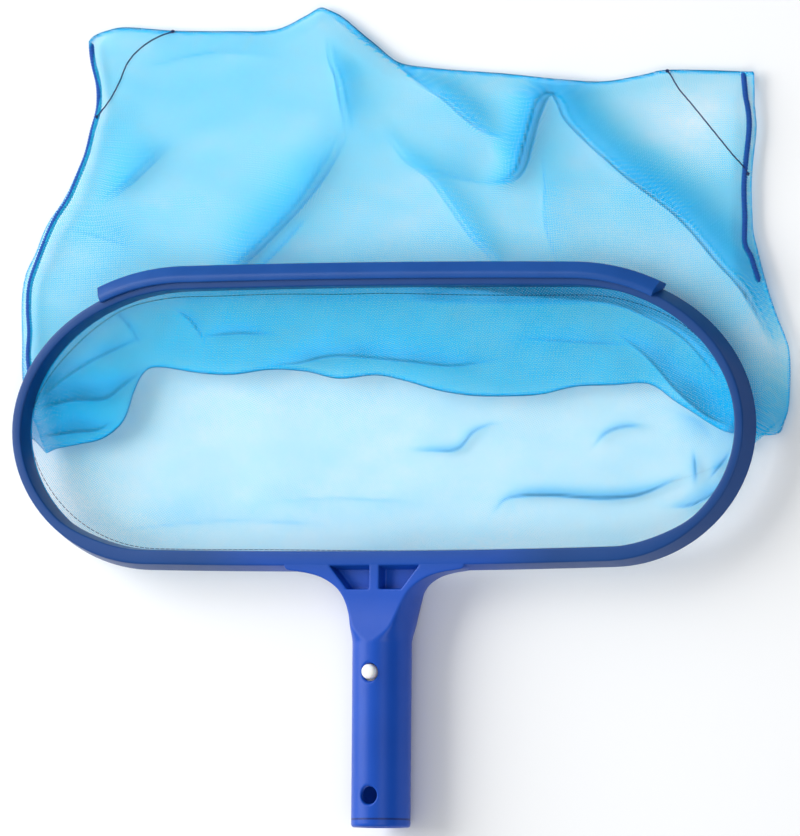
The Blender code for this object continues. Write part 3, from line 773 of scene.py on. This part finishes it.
def folded(grid, panel_name):
    """Raises the folds of a panel, lays each over to its crisp side, and says how densely they gather and how
    much painted shade they take.
    """
    places = grid.copy()
    heights = np.zeros(grid.shape[:2])
    gathers_and_shade = np.zeros(grid.shape[:2])
    for panels, run, sizes, gather_and_shade in folds:
        if panel_name not in panels.split():
            continue
        soft, height, over = (millimetres / 1000 for millimetres in sizes)
        line = curve_through(metres(run), fold_steps)
        nearest, offset, step_at, aside = beside(line, grid.reshape(-1, 2))
        run_length = np.linalg.norm(np.diff(line, axis=0), axis=1).sum()
        along_run = step_at / (fold_steps - 1) * run_length
        taper = min(taper_share * run_length, longest_taper)
        ends = (softened(along_run, taper_start, taper)
                * softened(run_length - along_run, taper_start, taper))
        reach = soft * (0.4 + 0.6 * ends)
        beyond = np.sqrt(np.maximum(nearest - offset ** 2, 0))
        ends = ends * bell(beyond, 0.002 + 0.5 * soft)
        half = over / 2.3 + 0.0012
        lean = bell(offset, half) * ends
        places -= (aside[step_at] * (lean * over * over_share)[:, None]).reshape(grid.shape)
        swell = np.where(offset > 0, bell(offset, soft), bell(offset, half * 1.6)) * ends
        heights += blurred((swell * height * height_share).reshape(grid.shape[:2]), 4)
        # Painted shade of the fold: soft on its left side, crisp on its right, with a thin darker line along
        # it
        shade_of = np.where(offset > 0, np.exp(-np.abs(offset / reach) ** 1.9), bell(offset, crisp_width))
        spread = (shade_of * np.sqrt(ends) * gather_and_shade).reshape(grid.shape[:2])
        line_of = bell(offset - line_place, line_width) * np.sqrt(ends)
        gathers_and_shade = np.maximum(gathers_and_shade, spread) + (line_of * (0.25 + gather_and_shade * 0.7)).reshape(grid.shape[:2])
    return places, heights, gathers_and_shade


def beyond_hoop(places):
    """How far places are outside the hoop's outline, less than zero inside it."""
    flat = places.reshape(-1, 2)
    line = np.array([tuple(point) for point in ring_points[::2]])
    nearest = np.full(len(flat), 1e9)
    for point in line:
        nearest = np.minimum(nearest, ((flat - point) ** 2).sum(1))
    x, y = flat[:, 0], flat[:, 1]
    reach = np.where(y > 0, nose_reach, bar_side_reach)
    bow = np.where(y > 0, nose_bow, bar_bow)
    turn_in = np.where(y > 0, nose_corner, bar_corner)
    past = np.clip((np.abs(x) - (half_width - turn_in)) / turn_in, 0, 1)
    edge = reach * np.sqrt(1 - past ** 2) + bow * (1 - (x / half_width) ** 2)
    inside = (np.abs(x) < half_width) & (np.abs(y) < edge)
    return (np.sqrt(nearest) * np.where(inside, -1, 1)).reshape(places.shape[:2])


# The grids of the three panels, the lower ones drawn in where they would show outside the hoop's bar side
columns = 320
low_rows, back_rows, tuck_rows = 200, 140, 60
far = curve_through(far_edge, columns)
tuck = curve_through(tuck_edge, columns)
low_grid = panel(evenly(bar_rim, columns), far, curve_through(left_edge, low_rows),
                 curve_through(right_edge, low_rows))
back_grid = panel(tuck, far, curve_through([tuck_edge[0]] + left_edge[1:], back_rows),
                  curve_through([tuck_edge[-1]] + right_edge[1:], back_rows))
rise = np.linspace(0, 1, tuck_rows)[:, None, None]
tuck_grid = (1 - rise) * tuck[None] + rise * evenly(nose_rim, columns)[None]
showing_y, hidden_by = -0.0046, 0.002
for grid in (low_grid, back_grid):
    excess = np.where(grid[..., 1] < 0.001, np.clip(beyond_hoop(grid) + hidden_by, 0, None), 0)
    grid[..., 0] -= np.where(grid[..., 1] > showing_y, 0, excess * np.sign(grid[..., 0]))
    grid[..., 1] += np.where(grid[..., 1] > showing_y, 0, excess * 0.6)

# The floor side: flat on the table with its folds, raised at the seams and the far edge, up to the rim
across_share = np.linspace(-1, 1, columns)[None, :]
from_side = 1 - np.abs(across_share)
seam_close = 1 - softened(from_side, 0.0, 0.05)
rim_z = hoop_back + 0.0012
rows_low = np.linspace(0, 1, low_rows)[:, None]
low_places, low_heights, low_gathers_and_shade = folded(low_grid, "low")
rim_drop = np.exp(-(np.linalg.norm(low_grid - low_grid[:1], axis=2) / 0.0085) ** 1.5)
low_z = 0.0014 + 0.0009 * (waves(low_grid, 3, 0.05) + 1) + low_heights * 0.6
low_z += seam_close * 0.0025 + (1 - softened(1 - rows_low, 0.0, 0.04)) * 0.0012
low_z = low_z * (1 - rim_drop) + rim_z * rim_drop
low_places = low_grid + (low_places - low_grid) * (1 - rim_drop)[..., None]

# The upper side: it billows a few millimetres above the floor side and closes on it at its edges
rows_back = np.linspace(0, 1, back_rows)[:, None]
back_places, back_heights, back_gathers_and_shade = folded(back_grid, "back")
closing = (1 - seam_close) * softened(1 - rows_back, 0.0, 0.07)
billow = 0.0052 + 0.0030 * (waves(back_grid, 8, 0.09) + 0.4)
back_z = 0.0034 + seam_close * 0.0012 + billow * closing + back_heights * (0.25 + 0.75 * closing)

# The tucked part: from its lowest edge up to the nose, where the hem doubles it, more so to the right
rows_tuck = np.linspace(0, 1, tuck_rows)[:, None]
tuck_places, tuck_heights, tuck_gathers_and_shade = folded(tuck_grid, "tuck")
hem_zone = softened(rows_tuck, 0.78, 0.83) * (0.3 + 0.7 * softened(tuck_grid[..., 0], -0.01, 0.03))
tuck_gathers_and_shade = tuck_gathers_and_shade + 0.60 * hem_zone
clear_of_rim = softened(1 - rows_tuck, 0.0, 0.2)
tuck_places = tuck_grid + (tuck_places - tuck_grid) * clear_of_rim[..., None]
tuck_start = back_z[0][None, :]
tuck_z = tuck_start + (rim_z - tuck_start) * rows_tuck ** 1.7 + 0.0030 * np.sqrt(rows_tuck) * (1 - rows_tuck)
tuck_z += tuck_heights * clear_of_rim + 0.0006 * waves(tuck_grid, 12, 0.03) * clear_of_rim


def kept_under(places, heights, room, ease=0.003):
    """Keeps the mesh below the hoop where it passes beneath it."""
    ceiling = hoop_back - room + 0.05 * softened(np.abs(beyond_hoop(places) + 0.004), 0.007, 0.034)
    start = ceiling - ease
    return np.minimum(heights, start + ease * np.tanh(np.maximum(heights - start, 0) / ease))


low_z = np.where(rim_drop > 0.15, low_z, kept_under(low_places, low_z, 0.004))
back_z = kept_under(back_places, back_z, 0.0012)


def joined(low_part, back_part, tuck_part):
    """One field of the whole bag, from the bar round the far edge and the tuck to the nose."""
    return np.concatenate([low_part, back_part[::-1][1:], tuck_part[1:]])


places = joined(low_places, back_places, tuck_places)
heights = joined(low_z, back_z, tuck_z)
gather_and_shade = joined(low_gathers_and_shade, back_gathers_and_shade, tuck_gathers_and_shade)
x, y = places[..., 0], places[..., 1]
rows = len(places)
far_row, tuck_row = low_rows - 1, low_rows + back_rows - 2

# The mesh bunches where it enters the hoop's ends, and its turned edges show as denser lines
left_end = np.hypot(x + 0.196, (y - 0.012) * 1.3)
right_end = np.hypot(x - 0.194, (y - 0.006) * 1.3)
bunching = 1 - softened(np.minimum(left_end, right_end), 0.004, 0.060)
row_of = np.arange(rows)[:, None]
turned = np.maximum(np.maximum(bell(row_of - far_row, 1.2), bell(row_of - tuck_row, 1.4)),
                    bell(from_side, 0.0045))
# Lighter (less than zero) and denser patches: centre, spread and how much. The lighter patches on the right
# side are partly painted light, lifting the shade that the hoop and the cloth above cast there.
patches = [(0.16, 0.15, 0.03, 0.022, -0.34), (0.12, 0.15, 0.026, 0.016, -0.14),
           (0.02, 0.1, 0.05, 0.028, -0.1), (0.125, 0.085, 0.04, 0.022, -0.12),
           (0.15, 0.06, 0.03, 0.018, -0.16), (0.2, 0.04, 0.02, 0.03, -0.3),
           (0.06, 0.168, 0.03, 0.007, -0.12), (-0.09, 0.165, 0.05, 0.016, 0.1),
           (0.185, 0.118, 0.01, 0.03, 0.16), (-0.15, 0.15, 0.012, 0.03, 0.12)]
patchy = 0.13 * waves(places, 21, 0.06, 11) + 0.13 * waves(places, 22, 0.017, 13)
for centre_x, centre_y, spread_x, spread_y, amount in patches:
    patchy += amount * np.exp(-((x - centre_x) / spread_x) ** 2 - ((y - centre_y) / spread_y) ** 2)
tuck_gather = 0.46
gather_and_shade = np.clip(gather_and_shade + 0.5 * bunching ** 1.5 + patchy + tuck_gather * (row_of > tuck_row), -0.4, 1.7)
outline = 0.15 + turned
gather_and_shade = np.maximum(gather_and_shade, np.where(outline > 0.3, 1.15 * outline, gather_and_shade))

vertices = np.stack([x, y + widest_y, heights], axis=-1)
corner = np.arange(rows - 1)[:, None] * columns + np.arange(columns - 1)[None, :]
faces = np.stack([corner, corner + 1, corner + columns + 1, corner + columns], axis=-1).reshape(-1, 4)
bag_mesh = bpy.data.meshes.new("mesh_bag")
bag_mesh.from_pydata(vertices.reshape(-1, 3).tolist(), [], faces.tolist())
loop_vertices = np.zeros(len(bag_mesh.loops), np.int32)
bag_mesh.loops.foreach_get("vertex_index", loop_vertices)

# Places on the cloth: height counts as length, so that the weave keeps its pitch on slopes. Each panel's
# weave lies at its own angle.
face_row = np.repeat(np.arange(len(faces)) // (columns - 1), 4)
on_back = (face_row >= far_row) & (face_row < tuck_row)
on_tuck = face_row >= tuck_row
lean = np.clip(x / half_width, -1, 1) ** 3 * heights
cloth_u = x.ravel()[loop_vertices] + np.where(on_back, -1, 1) * lean.ravel()[loop_vertices]
cloth_v = y.ravel()[loop_vertices] + np.where(on_tuck, 1, -1) * heights.ravel()[loop_vertices]
bias = np.where(on_back, 0.04, np.where(on_tuck, -0.34, 0.46))
uv = np.stack([cloth_u * np.cos(bias) - cloth_v * np.sin(bias),
               cloth_u * np.sin(bias) + cloth_v * np.cos(bias)], axis=1)
bag_mesh.uv_layers.new(name="cloth").data.foreach_set("uv", uv.ravel().astype(np.float32))
gather_and_shade_values = bag_mesh.attributes.new("gather_and_shade", "FLOAT", "POINT").data
gather_and_shade_values.foreach_set("value", gather_and_shade.ravel().astype(np.float32))

mesh_pitch = 0.00085


def woven(place, half_share):
    """1 on the threads of a square weave, 0 in its holes. half_share is half a thread's share of the pitch."""
    warp, weft = (((place.axis(index) / mesh_pitch).maths("FRACT") - 0.5).maths("ABSOLUTE") < half_share
                  for index in range(2))
    return warp.maths("MAXIMUM", weft)


net, net_place, feed_net = new_material("woven_mesh", Roughness=0.6, IOR=1.45, Specular_IOR_Level=0.2)
cloth_place = net_place.node("ShaderNodeUVMap", {"uv_map": "cloth"})
density_and_shade = net_place.node("ShaderNodeAttribute", {"attribute_name": "gather_and_shade"}, out=2)
slub = cloth_place.noise(260.0, 3.0)
thread_share = 0.152 + density_and_shade * 0.27 + (slub - 0.5) * 0.10
feed_net("Alpha", woven(cloth_place, thread_share * 0.5))
light_dye = cloth_place.noise(24.0, 4.0).blend((0.003, 0.64, 0.96), (0.009, 0.74, 0.99))
# Painted shade: the colour darkens where the threads are dense, most in the folds and gathers, and turns dark
# navy in thin lines along the folds' crisp edges
dye_and_fold_shade = density_and_shade.blend(light_dye, (0.0005, 0.49, 0.97))
crease_shade = (density_and_shade - 0.85) * 1.4
feed_net("Base Color", crease_shade.blend(dye_and_fold_shade, (0.0, 0.20, 0.42)))
bag = add_piece("mesh_bag", bag_mesh, net)
bag.data.shade_smooth()
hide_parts("net_bag")

# ---- Hem and its stitches ----
# The mouth of the bag is turned over twice into a band, run through a sewing machine with dark thread,
# and pressed into the groove by the strips.

hem_blue, hem_place, feed_hem = new_material("hem_band", Roughness=0.7, Specular_IOR_Level=0.2)
hem_weave = woven(hem_place, 0.30)
feed_hem("Base Color", hem_weave.blend((0.004, 0.15, 0.50), (0.010, 0.36, 0.78)))
feed_hem("Normal", bumped(hem_weave, 0.3, 0.0002))
hem_clear, hem_thick = 0.0003, 0.0005
hem_hang, hem_lean = 0.0025, 0.0016    # how far it hangs below the hoop, and how far in it leans there


def hem_section(normal):
    inner = groove_inner - hem_clear
    outer = inner - hem_thick
    high = hoop_back + groove_depth - 0.0008
    low = hoop_back - hem_hang
    return [(outer, high), (inner, high), (inner, hoop_back), (inner + hem_lean, low),
            (outer + hem_lean, low), (outer, hoop_back)]


hem = add_piece("mouth_band", swept("mouth_band", ring_points, ring_normals, hem_section, True), hem_blue)
shade(hem)
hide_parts("mouth_hem")

thread_navy, thread_place, feed_thread = new_material("sewing_thread", Roughness=0.65, Specular_IOR_Level=0.3)
ply = thread_place.noise(2600.0, 2.0)
feed_thread("Base Color", ply.blend((0.003, 0.012, 0.07), (0.010, 0.035, 0.16)))
feed_thread("Normal", bumped(ply, 0.4, 0.0002))


def strands_mesh(lines, radii, sides=6):
    """Round strands along lines of places. radii gives a strand's half width and half height at a step."""
    strands = []
    for line in lines:
        rings = []
        for index, point in enumerate(line):
            forward = (line[min(index + 1, len(line) - 1)] - line[max(index - 1, 0)]).normalized()
            side = forward.cross(upward).normalized()
            lift = side.cross(forward)
            wide, tall = radii(index, len(line))
            rings.append([point + side * wide * math.cos(turn) + lift * tall * math.sin(turn)
                          for turn in (math.tau * step / sides for step in range(sides))])
        strands.append(rings)
    return skinned("strands", strands)


def stitch_lines(row_index, count):
    """Short stitches along one row of the bag's grid, standing on its surface."""
    row = vertices[row_index]
    run = along_of(row)
    lifts = (0.0001, 0.0003, 0.00036, 0.0003, 0.0001)
    made = []
    for stitch in range(count):
        reaches = (stitch + np.array([0.12, 0.3, 0.5, 0.7, 0.88])) / count * run[-1]
        made.append([Vector([np.interp(reach, run, row[:, axis]) for axis in range(3)]) + upward * lift
                     for reach, lift in zip(reaches, lifts)])
    return made


stitch_radius, knot_radius, thread_radius = 0.00016, 0.0006, 0.00034
nose_stitches = stitch_lines(tuck_row + tuck_rows - 8, 180)
bar_stitches = stitch_lines(4, 160)
stitches = add_piece("hem_stitches", strands_mesh(nose_stitches + bar_stitches,
                                                  lambda index, count: (stitch_radius, stitch_radius)),
                     thread_navy)
shade(stitches)

# ---- Side seams ----
# Both sides of the bag are rolled and overlocked with heavy dark blue thread,
# and a little of the mesh is left outside the seam.

seam_blue, seam_place, feed_seam = new_material("overlocked_seam", Roughness=0.7, Specular_IOR_Level=0.25)
lint = seam_place.noise(1100.0, 3.0)
feed_seam("Base Color", lint.blend((0.004, 0.045, 0.26), (0.016, 0.12, 0.50)))
feed_seam("Normal", bumped(lint, 0.5, 0.0003))
upper_side = vertices[far_row:tuck_row + 1].reshape(-1, 3)


def on_bag(x, y, lift):
    """The place on the bag's upper side at x and y, raised by lift."""
    nearest = ((upper_side[:, 0] - x) ** 2 + (upper_side[:, 1] - y - widest_y) ** 2).argsort()[:6]
    return Vector((x, y + widest_y, float(upper_side[nearest, 2].mean()) + lift))


def whipped(index, count):
    """Thread wound over the seam: a swelling every few rings."""
    swell = 1 + 0.16 * math.sin(index * 1.25)
    taper = min(1.0, index / 8 + 0.4, (count - 1 - index) / 8 + 0.4)
    return 0.00145 * swell * taper, 0.0010 * swell * taper


seam_ring_gap = 0.00028
for name, line, node in (("left_seam_roll", left_seam, "side_seam_left"),
                         ("right_seam_roll", right_seam, "side_seam_right")):
    length = sum(math.dist(*pair) for pair in zip(line, line[1:]))
    laid = [tuple(on_bag(x, y, -0.0004)) for x, y in curve_through(line, 80)]
    run = curve_through(laid[::5] + laid[-1:], int(length / seam_ring_gap))
    seam_roll = add_piece(name, strands_mesh([[Vector(point) for point in run]], whipped, 12), seam_blue)
    shade(seam_roll, 60)
    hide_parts(node)

# ---- Corner seams ----
# A single dark thread is run across each far corner to round it off, knotted at its ends.

corner_left = metres([(-122.5, 196.5), (-129.5, 194.5), (-137, 190), (-145, 181.2), (-149, 172),
                      (-154, 163.2), (-159.5, 156.8), (-161.8, 154.5)])
corner_right = metres([(145.5, 173.8), (153, 166), (161, 157.8), (175, 142), (187, 128), (190.5, 122.2)])
run_steps, knot_steps, knot_turns, knot_climb = 64, 14, 1.6, 0.00004
for name, line, node in (("left_corner_thread", corner_left, "corner_seam_left"),
                         ("right_corner_thread", corner_right, "corner_seam_right")):
    waved = []
    for index, (x, y) in enumerate(curve_through(line, run_steps)):
        wobble = Vector((0.00012 * math.sin(index * 2.1), 0.00012 * math.cos(index * 1.7), 0))
        waved.append(on_bag(x, y, 0.0004 + 0.0002 * math.sin(index * 1.1)) + wobble)
    last = run_steps - 1
    steady = [waved[max(index - 1, 0)].lerp(waved[min(index + 1, last)], 0.5) for index in range(run_steps)]
    knots = [[middle + Vector((knot_radius * math.cos(turn), knot_radius * math.sin(turn), knot_climb * step))
              for step, turn in ((step, math.tau * knot_turns * step / knot_steps)
                                 for step in range(knot_steps + 1))]
             for middle in (steady[0], steady[-1])]
    thread_mesh = strands_mesh([steady] + knots, lambda index, count: (thread_radius, thread_radius), 7)
    corner_thread = add_piece(name, thread_mesh, thread_navy)
    shade(corner_thread)
    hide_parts(node)
